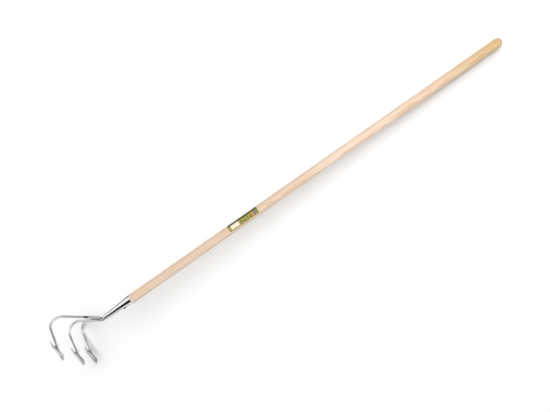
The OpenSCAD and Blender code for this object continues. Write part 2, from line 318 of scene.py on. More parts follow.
WALLS_AS_LIGHT, WALLS_IN_STEEL, WALLS_SEEN = 0.24, 0.95, 1.0
world = bpy.data.worlds.new("white_studio")
world.use_nodes = True
scene.world = world
tree = world.node_tree
path = add(tree, "ShaderNodeLightPath")
for_steel = add(tree, "ShaderNodeMath", {0: path.outputs["Is Glossy Ray"], 1: WALLS_IN_STEEL - WALLS_AS_LIGHT,
                                         2: WALLS_AS_LIGHT}, operation="MULTIPLY_ADD")
strength = add(tree, "ShaderNodeMath", {0: path.outputs["Is Camera Ray"], 1: WALLS_SEEN - WALLS_AS_LIGHT,
                                        2: for_steel.outputs[0]}, operation="MULTIPLY_ADD")
plug(tree, tree.nodes["Background"], {"Color": linear("#FFFFFF"), "Strength": strength.outputs[0]})

# %% [markdown]
# Polished steel has no colour of its own: it mirrors the studio. A photographer steers that with
# cards. Each card here is a patch of a wide sphere round the tool's head, given by its compass
# angles and its heights above the floor, and two more lie on the floor. Only glossy rays see them,
# so they draw the bright and dark bands on the steel and leave the light on the wood alone.

# %% Cards that the steel mirrors
HEAD = Vector((-0.68, 0.01, 0.08))
CARD_RADIUS, FLOOR_CARD_HEIGHT = 1.5, 0.0008


def card_face(name, colour, strength):
    material, tree, shader = new_surface(name + "_face")
    tree.nodes.remove(shader)
    face = add(tree, "ShaderNodeEmission", {"Color": linear(colour), "Strength": strength})
    tree.links.new(face.outputs[0], tree.nodes["Material Output"].inputs["Surface"])
    return material


def only_in_steel(card):
    card.visible_camera = card.visible_diffuse = card.visible_shadow = False
    card.visible_transmission = card.visible_volume_scatter = False


def mirror_card(name, compass, heights, colour, strength=1.0, steps=10):
    """Compass angles run from +X towards +Y, and heights are angles above the floor."""
    verts, faces = [], []
    for i in range(steps + 1):
        height = math.radians(heights[0] + (heights[1] - heights[0]) * i / steps)
        for j in range(steps + 1):
            angle = math.radians(compass[0] + (compass[1] - compass[0]) * j / steps)
            flat = CARD_RADIUS * math.cos(height)
            verts.append(HEAD + Vector((flat * math.cos(angle), flat * math.sin(angle),
                                        CARD_RADIUS * math.sin(height))))
    for i in range(steps):
        for j in range(steps):
            a = i * (steps + 1) + j
            faces.append((a, a + 1, a + steps + 2, a + steps + 1))
    only_in_steel(card_object(name, verts, faces, card_face(name, colour, strength)))


mirror_card("white_side_card", (106, 150), (12, 50), "#FFFFFF", 1.4)
mirror_card("dark_top_card", (166, 248), (28, 72), "#232124")
mirror_card("white_handle_card", (-45, 32), (4, 84), "#FFFFFF", 1.5)
mirror_card("dark_leg_card", (36, 68), (8, 40), "#2E2D2F")
mirror_card("grey_leg_card", (68, 104), (34, 56), "#67666A")


def floor_card(name, outline, colour):
    verts = [(x, y, FLOOR_CARD_HEIGHT) for x, y in outline]
    face = card_face(name, colour, 1.0)
    only_in_steel(card_object(name, verts, [tuple(range(len(verts)))], face))


FAR_OUTLINE = [(-0.86, 0.05), (-0.58, 0.05), (-0.62, 0.2), (-1.1, 1.3), (-1.9, 1.3), (-1.0, 0.3)]
NEAR_OUTLINE = [(-0.92, -0.2), (-0.66, -0.2), (-0.68, -0.03), (-0.92, -0.03)]
floor_card("dark_far_floor_card", FAR_OUTLINE, "#232224")
floor_card("dark_near_floor_card", NEAR_OUTLINE, "#2E2D2F")

# %% [markdown]
# Most pieces are turned or swept shapes. A lathe profile is a list of distances along the axis
# and radii, and every point becomes a ring. Each finished mesh also keeps its straight
# millimetre axes in an attribute named stock, so grain and polishing lines follow the stick or
# the wire as it was before bending, wherever the piece lies. Then it takes the place of its solid.

# %% Helpers for meshes


def lathe(profile, sides, closed=False):
    """Points and outward faces of a shape turned about X. A radius of 0 closes an end."""
    verts, rings, faces = [], [], []
    for x, r in profile:
        if r == 0:
            rings.append([len(verts)])
            verts.append((x, 0.0, 0.0))
            continue
        rings.append(list(range(len(verts), len(verts) + sides)))
        for k in range(sides):
            a = 2 * math.pi * k / sides
            verts.append((x, r * math.cos(a), r * math.sin(a)))
    pairs = list(zip(rings, rings[1:] + rings[:1])) if closed else list(zip(rings, rings[1:]))
    for a, b in pairs:
        for k in range(sides):
            j = (k + 1) % sides
            if len(a) == 1:
                faces.append((a[0], b[j], b[k]))
            elif len(b) == 1:
                faces.append((a[k], a[j], b[0]))
            else:
                faces.append((a[k], a[j], b[j], b[k]))
    return verts, faces


def mesh_object(name, verts, faces):
    mesh = bpy.data.meshes.new(name)
    mesh.from_pydata(verts, [], faces)
    mesh.update()
    obj = bpy.data.objects.new(name, mesh)
    scene.collection.objects.link(obj)
    return obj


def as_plain_mesh(obj):
    """The evaluated shape of obj as a plain mesh object of the same name, with no modifiers left."""
    name = obj.name
    graph = bpy.context.evaluated_depsgraph_get()
    mesh = bpy.data.meshes.new_from_object(obj.evaluated_get(graph), preserve_all_data_layers=True,
                                           depsgraph=graph)
    obj.modifiers.clear()
    bpy.data.objects.remove(obj)
    made = bpy.data.objects.new(name, mesh)
    scene.collection.objects.link(made)
    return made


def settle(obj, material, node, crease, place=Matrix.Identity(4)):
    """Keeps the straight axes, lays the mesh down and lets it stand for its solid."""
    mesh = obj.data
    if "stock" not in mesh.attributes:
        flat = [0.0] * (3 * len(mesh.vertices))
        mesh.vertices.foreach_get("co", flat)
        mesh.attributes.new("stock", "FLOAT_VECTOR", "POINT").data.foreach_set("vector", flat)
    mesh.transform(TO_ROW @ place)
    mesh.shade_smooth()
    mesh.set_sharp_from_angle(angle=math.radians(crease))
    mesh.materials.clear()
    mesh.materials.append(material)
    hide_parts(node)
    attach(obj, "root")
    print(obj.name, "stands for", node, "with", len(mesh.polygons), "faces")


print("helpers ready")

# %% [markdown]
# The shaft is sanded ash with a little oil: pale, with a peach tone near the head and yellower
# towards the free end. Ash is ring porous, so each year shows as a band of open pores that
# fades into dense pale wood. A picture of wood would repeat along so long a stick, so the rings are
# worked out in space: circles round a pith outside the stick, about 2.6 mm apart, that wander
# slowly along it. That gives the long arches of a flat sawn face.

# %% Ash wood, sanded and lightly oiled
RING_MM, RING_LEAN, PITH_AT = 2.6, 0.004, (0, 24, 44)
WANDER_MM = 22
# Where the dome's darkening starts and where it is full: end grain, with painted shade of the dome's rounding
END_GRAIN_AND_SHADE_FROM, END_GRAIN_AND_SHADE_FULL = 1434.0, 1437.0
ash_wood, tree, shader = new_surface("sanded_ash_wood")
stock = add(tree, "ShaderNodeAttribute", attribute_name="stock", attribute_type="GEOMETRY").outputs["Vector"]
axes = add(tree, "ShaderNodeSeparateXYZ", {0: stock})
# Wander: half of WANDER_MM to either side over 300 mm of length
wander_at = add(tree, "ShaderNodeMapping", {0: stock, "Scale": (1 / 300, 1 / 60, 1 / 60)})
wander = add(tree, "ShaderNodeTexNoise", {"Vector": wander_at.outputs[0], "Scale": 1.0, "Detail": 2.0})
centred = add(tree, "ShaderNodeVectorMath", {0: wander.outputs["Color"], 1: (0.5, 0.5, 0.5)},
              operation="SUBTRACT")
swing = add(tree, "ShaderNodeVectorMath", {0: centred.outputs[0], 1: (0, WANDER_MM, WANDER_MM), 2: stock},
            operation="MULTIPLY_ADD")
from_pith = add(tree, "ShaderNodeVectorMath", {0: swing.outputs[0], 1: PITH_AT}, operation="SUBTRACT")
ring_plane = add(tree, "ShaderNodeVectorMath", {0: from_pith.outputs[0], 1: (RING_LEAN, 1, 1)},
                 operation="MULTIPLY")
pith_distance = add(tree, "ShaderNodeVectorMath", {0: ring_plane.outputs[0]}, operation="LENGTH")
years = add(tree, "ShaderNodeMath", {0: pith_distance.outputs["Value"], 1: RING_MM}, operation="DIVIDE")
year = add(tree, "ShaderNodeMath", {0: years.outputs[0]}, operation="FRACT")
early = add(tree, "ShaderNodeMapRange", {"Value": year.outputs[0], "From Min": 0.06, "From Max": 0.6,
                                         "To Min": 1.0, "To Max": 0.0}, interpolation_type="SMOOTHSTEP")
# Fibres: streaks 0.6 mm wide and 45 mm long
fibre_at = add(tree, "ShaderNodeMapping", {0: stock, "Scale": (1 / 45, 1 / 0.6, 1 / 0.6)})
fibre = add(tree, "ShaderNodeTexNoise", {"Vector": fibre_at.outputs[0], "Scale": 1.0, "Detail": 3.0})
# Pores: dashes 0.35 mm wide and 5 mm long, open only in the early wood
pore_at = add(tree, "ShaderNodeMapping", {0: stock, "Scale": (1 / 5, 1 / 0.35, 1 / 0.35)})
pore_noise = add(tree, "ShaderNodeTexNoise", {"Vector": pore_at.outputs[0], "Scale": 1.0, "Detail": 1.0})
pore_open = add(tree, "ShaderNodeMapRange", {"Value": pore_noise.outputs["Fac"], "From Min": 0.56,
                                             "From Max": 0.66})
pore = add(tree, "ShaderNodeMath", {0: pore_open.outputs[0], 1: early.outputs[0]}, operation="MULTIPLY")
# Patches: honey tones 14 mm wide and 110 mm long
patch_at = add(tree, "ShaderNodeMapping", {0: stock, "Scale": (1 / 110, 1 / 14, 1 / 14)})
patch = add(tree, "ShaderNodeTexNoise", {"Vector": patch_at.outputs[0], "Scale": 1.0, "Detail": 2.0})
honey = add(tree, "ShaderNodeMapRange", {"Value": patch.outputs["Fac"], "From Min": 0.42, "From Max": 0.72,
                                         "To Max": 0.3}, interpolation_type="SMOOTHSTEP")
# Drift of the tone along the stick: peach at the head, pale in the middle, yellower at the end
place_along = add(tree, "ShaderNodeMath", {0: axes.outputs["X"], 1: SHAFT_END}, operation="DIVIDE")
late_wood = add(tree, "ShaderNodeValToRGB", {0: place_along.outputs[0]})
stops = late_wood.color_ramp.elements
stops[0].position, stops[0].color = 0.42, linear("#EAD0BA")
stops[1].position, stops[1].color = 0.985, linear("#E0C18C")
stops.new(0.64).color = linear("#FAE3CF")
stops.new(0.82).color = linear("#F4D7C0")
early_wood = add(tree, "ShaderNodeVectorMath", {0: late_wood.outputs[0], 1: (0.92, 0.85, 0.77)},
                 operation="MULTIPLY")
ringed = add(tree, "ShaderNodeMix", {0: early.outputs[0], 6: late_wood.outputs[0], 7: early_wood.outputs[0]},
             data_type="RGBA")
warmed = add(tree, "ShaderNodeMix", {0: honey.outputs[0], 6: ringed.outputs[2], 7: linear("#E6BC93")},
             data_type="RGBA")
streak = add(tree, "ShaderNodeMapRange", {"Value": fibre.outputs["Fac"], "From Min": 0.3, "From Max": 0.7,
                                          "To Min": 0.9, "To Max": 1.05})
streaked = add(tree, "ShaderNodeVectorMath", {0: warmed.outputs[2], "Scale": streak.outputs[0]},
               operation="SCALE")
pored = add(tree, "ShaderNodeMix", {0: pore.outputs[0], 6: streaked.outputs[0], 7: linear("#BB9872")},
            data_type="RGBA")
# The dome is darker: end grain drinks more oil, and painted shade stands for the rounding of the dome
end_grain_and_shade = add(tree, "ShaderNodeMapRange", {"Value": axes.outputs["X"], "From Min": END_GRAIN_AND_SHADE_FROM,
                                             "From Max": END_GRAIN_AND_SHADE_FULL, "To Max": 0.8})
toned = add(tree, "ShaderNodeMix", {0: end_grain_and_shade.outputs[0], 6: pored.outputs[2], 7: linear("#94794F")},
            data_type="RGBA")
rough = add(tree, "ShaderNodeMapRange", {"Value": fibre.outputs["Fac"], "To Min": 0.44, "To Max": 0.62})
relief = add(tree, "ShaderNodeMath", {0: pore.outputs[0], 1: -1.0, 2: fibre.outputs["Fac"]},
             operation="MULTIPLY_ADD")
bump = add(tree, "ShaderNodeBump", {"Height": relief.outputs[0], "Strength": 0.35, "Distance": 0.00008})
plug(tree, shader, {"Base Color": toned.outputs[2], "Roughness": rough.outputs[0], "Normal": bump.outputs[0]})
print(ash_wood.name, "has", len(tree.nodes), "nodes")

# %% [markdown]
# The shaft itself is a turned stick: a tapered tenon inside the socket, a shoulder flush with
# the socket's mouth, a long cylinder and a domed end whose rim was broken with sandpaper. A cylinder
# would do for its middle only, so one lathe profile makes it all, with rings where it changes.

# %% Ash shaft
TENON_FROM, TENON_TIP_R, TENON_ROOT_R = 42.0, 6.6, 12.15
TIP_BEVEL, TIP_BEVEL_RISE = 1.0, 0.5
SHOULDER_IN, SHOULDER_OUT, SHOULDER_BREAK = 0.2, 0.25, 0.4
FIRST_RING, RING_STEP, RING_COUNT = 4.0, 19.0, 70
# Sanding at the rim: places along from it, and how much is worn off the radius there
SANDED_RIM, DOME_WORN = ((-1.5, 0.0), (-0.6, 0.05), (0.2, 0.35)), 0.9
DOME_RINGS, SHAFT_SIDES = 11, 72
seat = SOCKET_LEN - SHOULDER_IN
profile = [(TENON_FROM, 0), (TENON_FROM, TENON_TIP_R), (TENON_FROM + TIP_BEVEL, TENON_TIP_R + TIP_BEVEL_RISE),
           (seat, TENON_ROOT_R), (seat, SHAFT_R - SHOULDER_BREAK), (SOCKET_LEN + SHOULDER_OUT, SHAFT_R)]
profile += [(SOCKET_LEN + FIRST_RING + RING_STEP * i, SHAFT_R) for i in range(RING_COUNT)]
profile += [(RIM.x + from_rim, SHAFT_R - worn) for from_rim, worn in SANDED_RIM]
dome_r = (SHAFT_R ** 2 + DOME_H ** 2) / (2 * DOME_H)
dome_from = math.asin((SHAFT_R - DOME_WORN) / dome_r)
for i in range(DOME_RINGS):
    a = dome_from * (1 - i / DOME_RINGS)
    profile.append((SHAFT_END - dome_r + dome_r * math.cos(a), dome_r * math.sin(a)))
profile.append((SHAFT_END, 0))
shaft = mesh_object("ash_shaft", *lathe(profile, SHAFT_SIDES))
settle(shaft, ash_wood, "handle_shaft", crease=50)

# %% [markdown]
# Socket, rods and shares are all bare steel, and differ in how they were worked. One function
# makes such a finish: clouds, where tone and gloss change a little, and fine lines left by the
# tool. The socket is a swaged cone of stainless steel, polished on a lathe, so its lines run round
# the cone. They are drawn 0.5 mm apart, coarser than the real ones, so that they show at all.

# %% Polished stainless steel of the socket


def worked_steel(name, lines, line_detail, clouds, cloud_detail, tones, gloss, bump_strength, bump_depth):
    """Bare steel: lines and clouds have their sizes in mm along and across, and gloss is roughness."""
    material, tree, shader = new_surface(name)
    stock = add(tree, "ShaderNodeAttribute", attribute_name="stock",
                attribute_type="GEOMETRY").outputs["Vector"]
    line_at = add(tree, "ShaderNodeMapping", {0: stock, "Scale": [1 / mm for mm in lines]})
    line = add(tree, "ShaderNodeTexNoise", {"Vector": line_at.outputs[0], "Scale": 1.0,
                                            "Detail": line_detail})
    cloud_at = add(tree, "ShaderNodeMapping", {0: stock, "Scale": [1 / mm for mm in clouds]})
    cloud = add(tree, "ShaderNodeTexNoise", {"Vector": cloud_at.outputs[0], "Scale": 1.0,
                                             "Detail": cloud_detail})
    tone = add(tree, "ShaderNodeMix", {0: cloud.outputs["Fac"], 6: linear(tones[0]), 7: linear(tones[1])},
               data_type="RGBA")
    rough = add(tree, "ShaderNodeMapRange", {"Value": cloud.outputs["Fac"], "From Min": 0.3, "From Max": 0.7,
                                             "To Min": gloss[0], "To Max": gloss[1]})
    bump = add(tree, "ShaderNodeBump", {"Height": line.outputs["Fac"], "Strength": bump_strength,
                                        "Distance": bump_depth})
    plug(tree, shader, {"Base Color": tone.outputs[2], "Metallic": 1.0, "Roughness": rough.outputs[0],
                        "Normal": bump.outputs[0]})
    print(name, "has", len(tree.nodes), "nodes")
    return material


# To the eye it is a mirror of a faint warm grey, whose reflections are drawn out along the cone
socket_steel = worked_steel("polished_stainless_steel", lines=(0.5, 30, 30), line_detail=2.0,
                            clouds=(18, 9, 9), cloud_detail=3.0, tones=("#D0CED1", "#E6E4E7"),
                            gloss=(0.06, 0.12), bump_strength=0.12, bump_depth=0.00004)

# %% [markdown]
# The cone is a thin wall turned about the handle's axis: an outer face, a rounded lip at the
# mouth, an inner face that clears the tenon, and a blunt nose that the rod comes out of. A cone
# with Solidify would have a sharp mouth, so the whole wall is one closed profile.

# %% Conical socket
NOSE_R, NOSE_BORE_R, WALL, NOSE_EDGE = 6.0, 3.8, 1.5, 0.35
RINGS_ALONG = (*range(2, 93, 10), 100, SOCKET_LEN - 0.8)
# The rounded lip: how far each ring lies in from the mouth, and in from the shaft's radius
ROUNDED_LIP, LIP_BREAK = ((0.35, 0.06), (0.08, 0.25), (0.0, 0.55)), 0.2
INNER_RING, SOCKET_SIDES = (60.0, 8.84), 128
slope = (SHAFT_R - NOSE_R) / SOCKET_LEN
outer = [(0.0, NOSE_R - NOSE_EDGE), (NOSE_EDGE, NOSE_R)]
outer += [(x, NOSE_R + slope * x) for x in RINGS_ALONG]
lip = [(SOCKET_LEN - back, SHAFT_R - drop) for back, drop in ROUNDED_LIP]
lip += [(SOCKET_LEN, SHAFT_R - WALL + LIP_BREAK), (SOCKET_LEN - LIP_BREAK, SHAFT_R - WALL)]
inner = [INNER_RING, (0.0, NOSE_BORE_R)]
socket = mesh_object("socket_cone", *lathe(outer + lip + inner, SOCKET_SIDES, closed=True))
settle(socket, socket_steel, "socket", crease=40)

# %% [markdown]
# The tines are bright drawn steel wire, bent cold: nearly as shiny as the socket, with lines that
# run along the wire. One arm has a dark mark about 12 mm long in the photograph, and it is kept:
# the rods share one finish, so the mark is all that lies near one point of that arm.

# %% Bright drawn steel of the rods
MARK_ALONG, MARK_CORE, MARK_REACH = 39.0, 0.0045, 0.0085
# To the eye it is bright, with dark and white stripes along the wire that are a little uneven
rod_steel = worked_steel("bright_drawn_steel", lines=(40, 0.5, 0.5), line_detail=2.0,
                         clouds=(16, 6, 6), cloud_detail=3.0, tones=("#C4C4C6", "#E2E2E4"),
                         gloss=(0.06, 0.13), bump_strength=0.15, bump_depth=0.00004)
tree = rod_steel.node_tree
shader = tree.nodes["Principled BSDF"]
clean_tone = shader.inputs["Base Color"].links[0].from_socket
here = add(tree, "ShaderNodeTexCoord")
mark_at = TO_ROW @ outer_frame(1) @ Vector((MARK_ALONG, 0, 0))
from_mark = add(tree, "ShaderNodeVectorMath", {0: here.outputs["Object"], 1: mark_at}, operation="DISTANCE")
mark = add(tree, "ShaderNodeMapRange", {"Value": from_mark.outputs["Value"], "From Min": MARK_CORE,
                                        "From Max": MARK_REACH, "To Min": 0.9, "To Max": 0.0},
           interpolation_type="SMOOTHSTEP")
marked = add(tree, "ShaderNodeMix", {0: mark.outputs[0], 6: clean_tone, 7: linear("#3E3B3D")},
             data_type="RGBA")
plug(tree, shader, {"Base Color": marked.outputs[2]})
print("the mark lies at", [round(v, 4) for v in mark_at])

# %% [markdown]
# Geometry Nodes sweep a circle along each rod's path, with the rod's radius as a named input. A
# curve's own bevel would give the tube too, but the tree also stores where each point was in the
# straight wire, so that the drawing lines run along the rod through its bends.

# %% A Geometry Nodes tree that sweeps a rod along its path


def named_inputs(tree, *sockets):
    for name, kind in sockets:
        tree.interface.new_socket(name=name, in_out="INPUT", socket_type=kind)
    tree.interface.new_socket(name="Geometry", in_out="OUTPUT", socket_type="NodeSocketGeometry")
    return tree.nodes.new("NodeGroupInput"), tree.nodes.new("NodeGroupOutput")


def apply_tree(obj, tree, values):
    """Sets each named input by its identifier before the first evaluation, then makes a plain mesh."""
    modifier = obj.modifiers.new(tree.name, "NODES")
    modifier.node_group = tree
    for item in tree.interface.items_tree:
        if item.in_out == "INPUT" and item.name in values:
            modifier[item.identifier] = values[item.name]
    return as_plain_mesh(obj)


sweep = bpy.data.node_groups.new("Sweep a bent rod", "GeometryNodeTree")
given, result = named_inputs(sweep, ("Path", "NodeSocketGeometry"), ("Rod radius", "NodeSocketFloat"),
                             ("Sides", "NodeSocketInt"), ("Steel", "NodeSocketMaterial"))
circle = add(sweep, "GeometryNodeCurvePrimitiveCircle", {"Resolution": given.outputs["Sides"],
                                                         "Radius": given.outputs["Rod radius"]})
spot = add(sweep, "GeometryNodeInputPosition")
ring = add(sweep, "GeometryNodeCaptureAttribute", {"Geometry": circle.outputs[0]})
ring.capture_items.new("VECTOR", "In the ring")
sweep.links.new(spot.outputs[0], ring.inputs["In the ring"])
length = add(sweep, "GeometryNodeSplineParameter")
line = add(sweep, "GeometryNodeCaptureAttribute", {"Geometry": given.outputs["Path"]})
line.capture_items.new("FLOAT", "Along the wire")
sweep.links.new(length.outputs["Length"], line.inputs["Along the wire"])
tube = add(sweep, "GeometryNodeCurveToMesh", {"Curve": line.outputs["Geometry"],
                                              "Profile Curve": ring.outputs["Geometry"], "Fill Caps": True})
parts = add(sweep, "ShaderNodeSeparateXYZ", {0: ring.outputs["In the ring"]})
straight = add(sweep, "ShaderNodeCombineXYZ", {"X": line.outputs["Along the wire"], "Y": parts.outputs["X"],
                                               "Z": parts.outputs["Y"]})
kept = add(sweep, "GeometryNodeStoreNamedAttribute", {"Geometry": tube.outputs[0], "Name": "stock",
                                                      "Value": straight.outputs[0]},
           data_type="FLOAT_VECTOR", domain="POINT")
real = add(sweep, "GeometryNodeRealizeInstances", {"Geometry": kept.outputs[0]})
dressed = add(sweep, "GeometryNodeSetMaterial", {"Geometry": real.outputs[0],
                                                 "Material": given.outputs["Steel"]})
sweep.links.new(dressed.outputs[0], result.inputs[0])
print(sweep.name, "has", len(sweep.nodes), "nodes")

# %% [markdown]
# Each path is a straight arm, a hook and a straight leg, in the frame where that tine begins.
# The middle tine starts inside the socket and has a bend at the neck as well. The cut ends get a
# small chamfer by letting the path's own radius shrink there.

# %% Paths of the tines, and the swept rods


def bend_points(radius, degrees, step=3.0):
    count = max(2, round(degrees / step))
    angles = [math.radians(degrees * i / count) for i in range(1, count)]
    return [Vector((radius * math.sin(a), 0, radius * math.cos(a) - radius)) for a in angles]


def hook_path(arm, degrees, arm_steps=8, leg_steps=6):
    """Arm, hook and leg in the tine's own frame."""
    points = [Vector((arm * i / arm_steps, 0, 0)) for i in range(arm_steps + 1)]
    points += [Vector((arm, 0, 0)) + p for p in bend_points(HOOK_R, degrees)]
    leg = leg_frame(arm, degrees)
    return points + [leg @ Vector(((LEG - ROD_STOP) * i / leg_steps, 0, 0)) for i in range(leg_steps + 1)]


def path_object(name, splines, cyclic=False):
    """A curve of straight pieces from lists of (point, radius factor)."""
    curve = bpy.data.curves.new(name, "CURVE")
    curve.dimensions = "3D"
    for points in splines:
        spline = curve.splines.new("POLY")
        spline.points.add(len(points) - 1)
        for target, (place, factor) in zip(spline.points, points):
            target.co = (*place, 1.0)
            target.radius = factor
        spline.use_cyclic_u = cyclic
    obj = bpy.data.objects.new(name, curve)
    scene.collection.objects.link(obj)
    return obj


def with_chamfers(points, size=0.6):
    """Adds a short taper at both cut ends of a rod."""
    first = points[0] + (points[1] - points[0]).normalized() * size
    last = points[-1] + (points[-2] - points[-1]).normalized() * size
    body = [(first, 1.0)] + [(p, 1.0) for p in points[1:-1]] + [(last, 1.0)]
    return [(points[0], 1 - size / ROD_R)] + body + [(points[-1], 1 - size / ROD_R)]


SHANK_IN, ROD_SIDES = 36.0, 40
neck = [NECK_FRAME @ Vector((x, 0, 0)) for x in (-SHANK_IN - NECK_LEAD, -20, -10, 0)]
neck += [NECK_FRAME @ p for p in bend_points(NECK_R, ARM_RISE)]
tine_paths = {
    "left": [outer_frame(1) @ p for p in hook_path(OUTER_ARM, OUTER_TURN)],
    "centre": neck + [ARM_FRAME @ p for p in hook_path(CENTRE_ARM, CENTRE_TURN)],
    "right": [outer_frame(-1) @ p for p in hook_path(OUTER_ARM, OUTER_TURN)],
}
for side, points in tine_paths.items():
    rod = path_object(side + "_bent_rod", [with_chamfers(points)])
    rod = apply_tree(rod, sweep, {"Rod radius": ROD_R, "Sides": ROD_SIDES, "Steel": rod_steel})
    settle(rod, rod_steel, side + "_tine", crease=30)

# %% [markdown]
# Each share is an arrow cut from 3 mm plate, folded along its middle and left with a satin
# finish from tumbling. Fine scratches run towards the point, as from work in gritty soil.

# %% Satin steel of the shares
# To the eye it is an even, soft grey that brightens and darkens with the fold
share_steel = worked_steel("tumbled_satin_steel", lines=(9, 0.4, 0.4), line_detail=3.0,
                           clouds=(7, 5, 5), cloud_detail=4.0, tones=("#B6B6B8", "#D8D8DA"),
                           gloss=(0.24, 0.36), bump_strength=0.25, bump_depth=0.00006)

# %% [markdown]
# The blade is one outline, mirrored over the fold. Distances run from the point: a blunt tip,
# shoulders, a waist and two barbs that sweep back beside a notch for the rod. Both faces follow
# the fold, and a weighted bevel grinds the front edges and only breaks the others.

# %% Folded arrow shares
POINT, SHOULDER, WAIST = (0.0, 1.2), (14.0, 7.0), (44.0, 6.5)
BARB_OUT, BARB_IN, NOTCH = (SHARE_LEN, BARB_HALF), (57.6, 15.8), (50.5, 4.5)
POINT_PULL, EDGE_PULL, BARB_PULL, NOTCH_PULL = (8.0, 5.6), (20.0, 7.2), (51.0, 10.0), (52.0, 8.0)
GRIND_WIDTH, BROKEN_SHARE = 0.8, 0.4


def swept(start, pull, stop, steps=5):
    """A curved stretch of outline: leaves start towards pull and arrives at stop from there."""
    spots = [i / steps for i in range(1, steps + 1)]
    return [tuple(a * (1 - t) ** 2 + 2 * b * t * (1 - t) + c * t ** 2
                  for a, b, c in zip(start, pull, stop)) for t in spots]


half_outline = [POINT] + swept(POINT, POINT_PULL, SHOULDER) + swept(SHOULDER, EDGE_PULL, WAIST)
half_outline += swept(WAIST, BARB_PULL, BARB_OUT) + [BARB_IN] + swept(BARB_IN, NOTCH_PULL, NOTCH)


def share_mesh(name):
    verts, faces, front_edges = [], [], []
    count = len(half_outline)
    rim = [(0.0, 0.0)] + half_outline + [(NOTCH[0], 0.0)]
    index = {}
    for layer, rise in (("back", FOLD_IN), ("front", FOLD_OUT)):
        for side in (1, -1):
            for i, (from_tip, half) in enumerate(rim):
                middle = i in (0, count + 1)
                key = (layer, 0 if middle else side, i)
                if key not in index:
                    index[key] = len(verts)
                    verts.append(share_point(from_tip, side * half, rise))
    for side in (1, -1):
        front, back = ([index[(layer, 0 if i in (0, count + 1) else side, i)] for i in range(count + 2)]
                       for layer in ("front", "back"))
        order = range(count + 2) if side == 1 else range(count + 1, -1, -1)
        faces.append(tuple(front[i] for i in order))
        faces.append(tuple(back[i] for i in reversed(order)))
        for i in range(count + 1):
            a, b = (i, i + 1) if side == 1 else (i + 1, i)
            faces.append((front[b], front[a], back[a], back[b]))
            front_edges.append({front[i], front[i + 1]})
    obj = mesh_object(name, verts, faces)
    weights = obj.data.attributes.new("bevel_weight_edge", "FLOAT", "EDGE")
    for edge in obj.data.edges:
        weights.data[edge.index].value = 1.0 if set(edge.vertices) in front_edges else BROKEN_SHARE
    bevel = obj.modifiers.new("ground_edges", "BEVEL")
    bevel.limit_method, bevel.width, bevel.segments = "WEIGHT", GRIND_WIDTH, 3
    return as_plain_mesh(obj)


for side, place in SHARE_FRAMES.items():
    blade = share_mesh(side + "_arrow_blade")
    settle(blade, share_steel, side + "_share", crease=25, place=place @ lean(PITCH))

# %% [markdown]
# Weld metal is duller than the rods: it froze in the open air and was only wire brushed. Specks of
# spatter and a straw tint from the heat break up its grey.

# %% Wire brushed weld metal
weld_steel, tree, shader = new_surface("wire_brushed_weld")
stock = add(tree, "ShaderNodeAttribute", attribute_name="stock", attribute_type="GEOMETRY").outputs["Vector"]
# Specks 1.4 mm wide, and straw-coloured heat tint in clouds of 6 mm
spatter_at = add(tree, "ShaderNodeMapping", {0: stock, "Scale": (1 / 1.4, 1 / 1.4, 1 / 1.4)})
spatter = add(tree, "ShaderNodeTexNoise", {"Vector": spatter_at.outputs[0], "Scale": 1.0, "Detail": 4.0})
tint_at = add(tree, "ShaderNodeMapping", {0: stock, "Scale": (1 / 6, 1 / 6, 1 / 6)})
tint = add(tree, "ShaderNodeTexNoise", {"Vector": tint_at.outputs[0], "Scale": 1.0, "Detail": 2.0})
brushed = add(tree, "ShaderNodeMix", {0: spatter.outputs["Fac"], 6: linear("#77767A"), 7: linear("#A9A8AB")},
              data_type="RGBA")
heat = add(tree, "ShaderNodeMapRange", {"Value": tint.outputs["Fac"], "From Min": 0.5, "From Max": 0.75,
                                        "To Max": 0.5})
straw = add(tree, "ShaderNodeMix", {0: heat.outputs[0], 6: brushed.outputs[2], 7: linear("#8C7A66")},
            data_type="RGBA")
rough = add(tree, "ShaderNodeMapRange", {"Value": spatter.outputs["Fac"], "To Min": 0.3, "To Max": 0.55})
bump = add(tree, "ShaderNodeBump", {"Height": spatter.outputs["Fac"], "Strength": 0.3, "Distance": 0.00012})
plug(tree, shader, {"Base Color": straw.outputs[2], "Metallic": 1.0, "Roughness": rough.outputs[0],
                    "Normal": bump.outputs[0]})
print(weld_steel.name, "has", len(tree.nodes), "nodes")

# %% [markdown]
# Welds are beads of overlapping ripples, each the frozen edge of the pool. A plain tube would look
# like putty, so Geometry Nodes set a flattened drop on every step of the weld's path and melt them
# into one skin through a volume.
# Ripple spacing, bead radius and the fineness of the skin are named inputs, and the seed is fixed.

# %% A Geometry Nodes tree that lays a rippled bead
ripples = bpy.data.node_groups.new("Lay a weld bead", "GeometryNodeTree")
given, result = named_inputs(ripples, ("Path", "NodeSocketGeometry"), ("Ripple spacing", "NodeSocketFloat"),
                             ("Bead radius", "NodeSocketFloat"), ("Skin step", "NodeSocketFloat"),
                             ("Seed", "NodeSocketInt"), ("Steel", "NodeSocketMaterial"))
steps = add(ripples, "GeometryNodeResampleCurve", {"Curve": given.outputs["Path"],
                                                   "Length": given.outputs["Ripple spacing"]}, mode="LENGTH")
drop = add(ripples, "GeometryNodeMeshIcoSphere", {"Radius": 1.0, "Subdivisions": 3})
tangent = add(ripples, "GeometryNodeInputTangent")
facing = add(ripples, "FunctionNodeAlignRotationToVector", {"Vector": tangent.outputs[0]}, axis="X")
uneven = add(ripples, "FunctionNodeRandomValue", {"Min": (0.5, 0.92, 0.92), "Max": (0.6, 1.04, 1.04),
                                                  "Seed": given.outputs["Seed"]}, data_type="FLOAT_VECTOR")
size = add(ripples, "ShaderNodeVectorMath", {0: uneven.outputs[0], "Scale": given.outputs["Bead radius"]},
           operation="SCALE")
drops = add(ripples, "GeometryNodeInstanceOnPoints", {
    "Points": steps.outputs[0], "Instance": drop.outputs["Mesh"], "Rotation": facing.outputs[0],
    "Scale": size.outputs[0]})
loose = add(ripples, "GeometryNodeRealizeInstances", {"Geometry": drops.outputs[0]})
